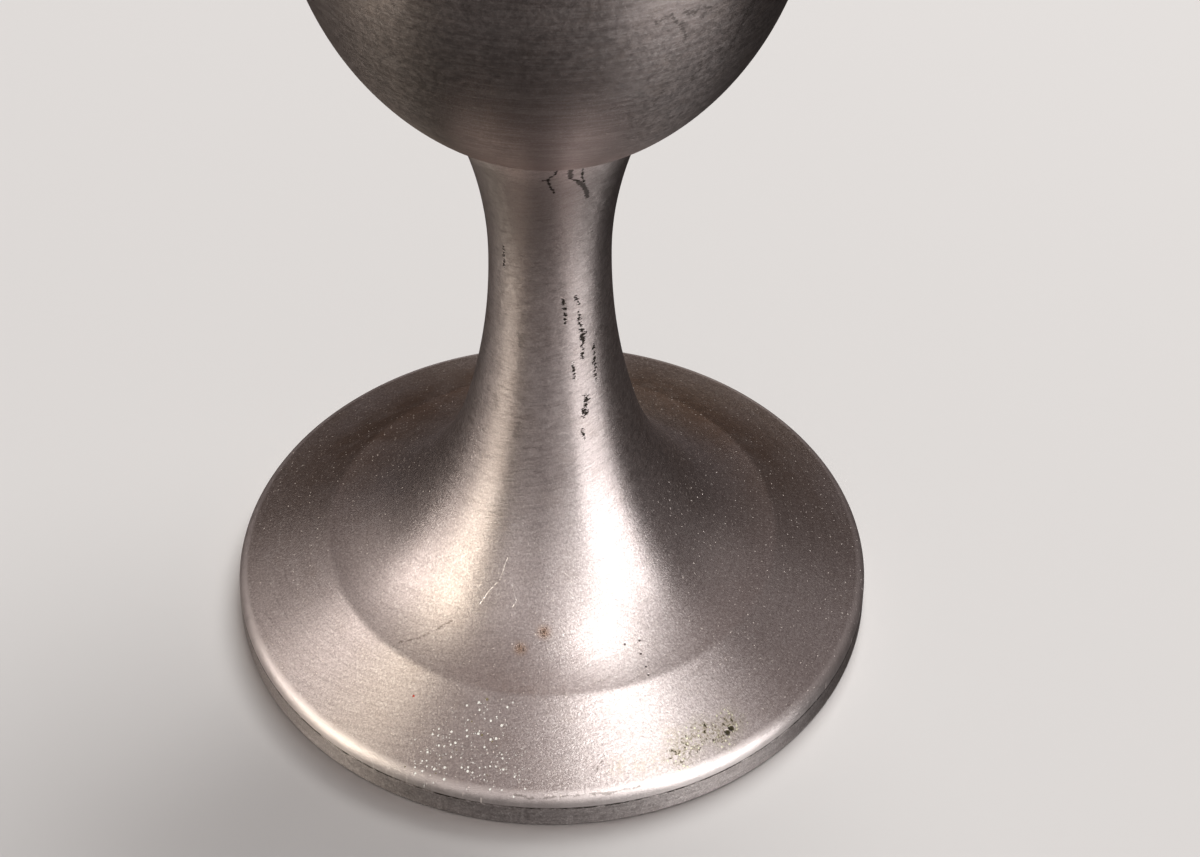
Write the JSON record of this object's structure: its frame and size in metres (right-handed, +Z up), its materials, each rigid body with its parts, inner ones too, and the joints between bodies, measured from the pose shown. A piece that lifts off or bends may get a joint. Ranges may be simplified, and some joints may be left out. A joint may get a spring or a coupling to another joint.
{
  "type": "communion chalice",
  "caption": "Stemmed metal wine cup: deep round-bottomed bowl with a rolled lip, hollow waisted stem flaring into a wide round foot on a rim hoop, held by a tie stud and nut.",
  "frame": {"origin": "centre of the foot's underside, in the plane it stands on", "axes": "+Z up the axis of revolution, towards the lip; the piece looks the same from every side"},
  "size_m": [0.1, 0.1, 0.171],
  "materials": {
    "pewter": "satin pewter, brushed round the axis, aged",
    "steel": "plain zinc plate"
  },
  "bodies": {
    "root": {"cup": "pewter", "stem_and_foot": "pewter", "foot_rim_ring": "pewter", "cup_boss": "pewter", "tie_stud": "steel", "clamp_washer": "steel", "lock_washer": "steel", "clamp_nut": "steel"}
  },
  "joints": []
}
